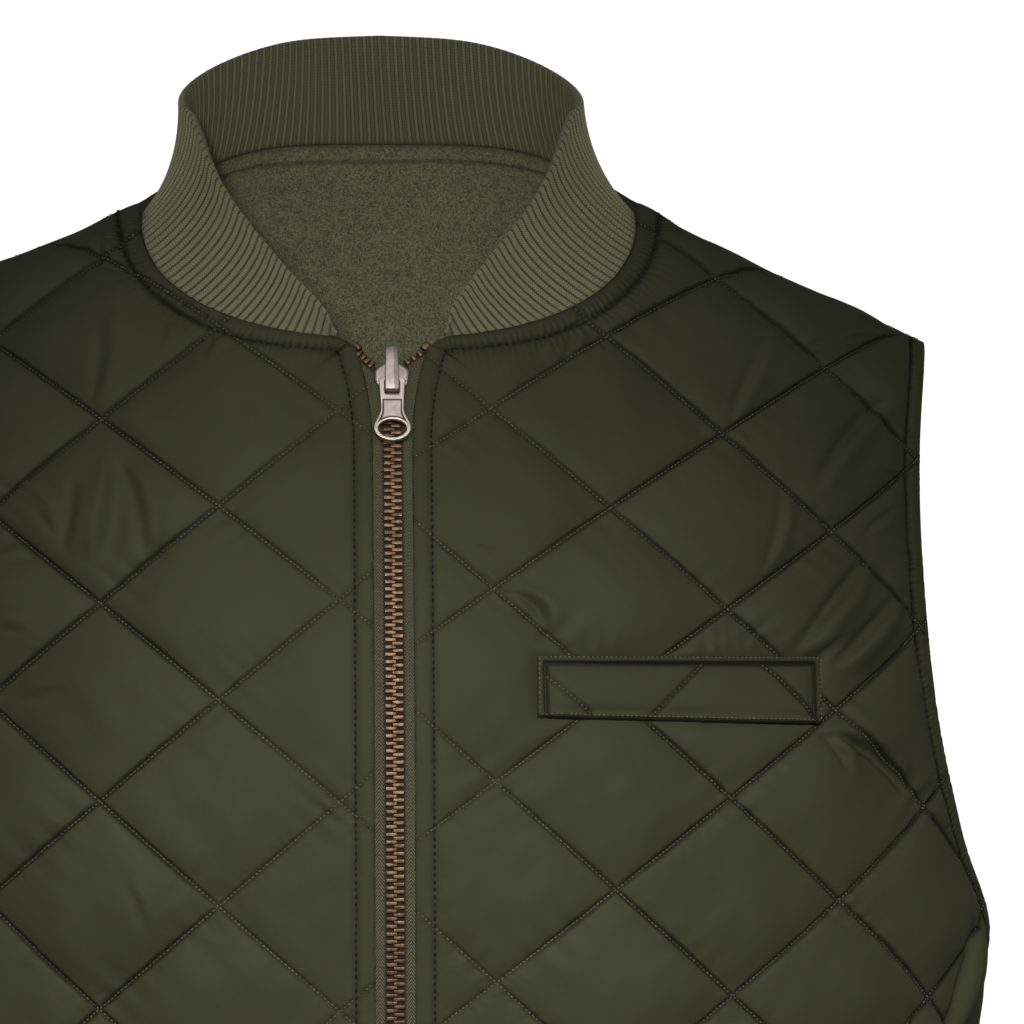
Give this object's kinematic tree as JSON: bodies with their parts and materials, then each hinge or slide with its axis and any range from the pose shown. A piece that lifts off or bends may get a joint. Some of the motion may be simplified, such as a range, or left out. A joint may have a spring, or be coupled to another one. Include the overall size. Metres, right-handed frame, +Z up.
{
  "type": "reversible quilted vest",
  "caption": "Zip-front quilted vest with a rib-knit stand collar, fleece reverse side and a welted chest pocket, filled out as if worn.",
  "frame": {"origin": "midway between the neck ends of the shoulder seams, where a wearer or hanger holds the vest up", "axes": "+Z up along the body, front faces -Y, the wearer's left is +X"},
  "size_m": [0.5042, 0.2617, 0.741],
  "materials": {
    "shell": "dark olive quilted nylon with a soft satin sheen",
    "fleece": "olive microfleece, matt short nap",
    "rib": "lighter olive rib knit, matt",
    "tape": "olive herringbone zip tape",
    "teeth": "antique brass, darkened between the teeth",
    "slider": "antique brass with worn bright rims"
  },
  "bodies": {
    "vest": {"front_left": "shell", "front_right": "shell", "back": "shell", "lining_front_left": "fleece", "lining_front_right": "fleece", "lining_back": "fleece", "collar": "rib", "pocket_welt": "shell", "zip_tape_left": "tape", "zip_tape_right": "tape", "zip_chain": "teeth", "zip_top_left": "teeth", "zip_top_right": "teeth", "zip_box": "teeth", "zip_slider": "slider"},
    "pull_tab": {"zip_pull": "slider"}
  },
  "joints": [
    {"name": "pull_hinge", "type": "hinge", "parent": "vest", "child": "pull_tab", "pos_m": [0, -0.07437, -0.0729], "axis": [-1, 0, 0], "range_deg": [0, 145]}
  ]
}
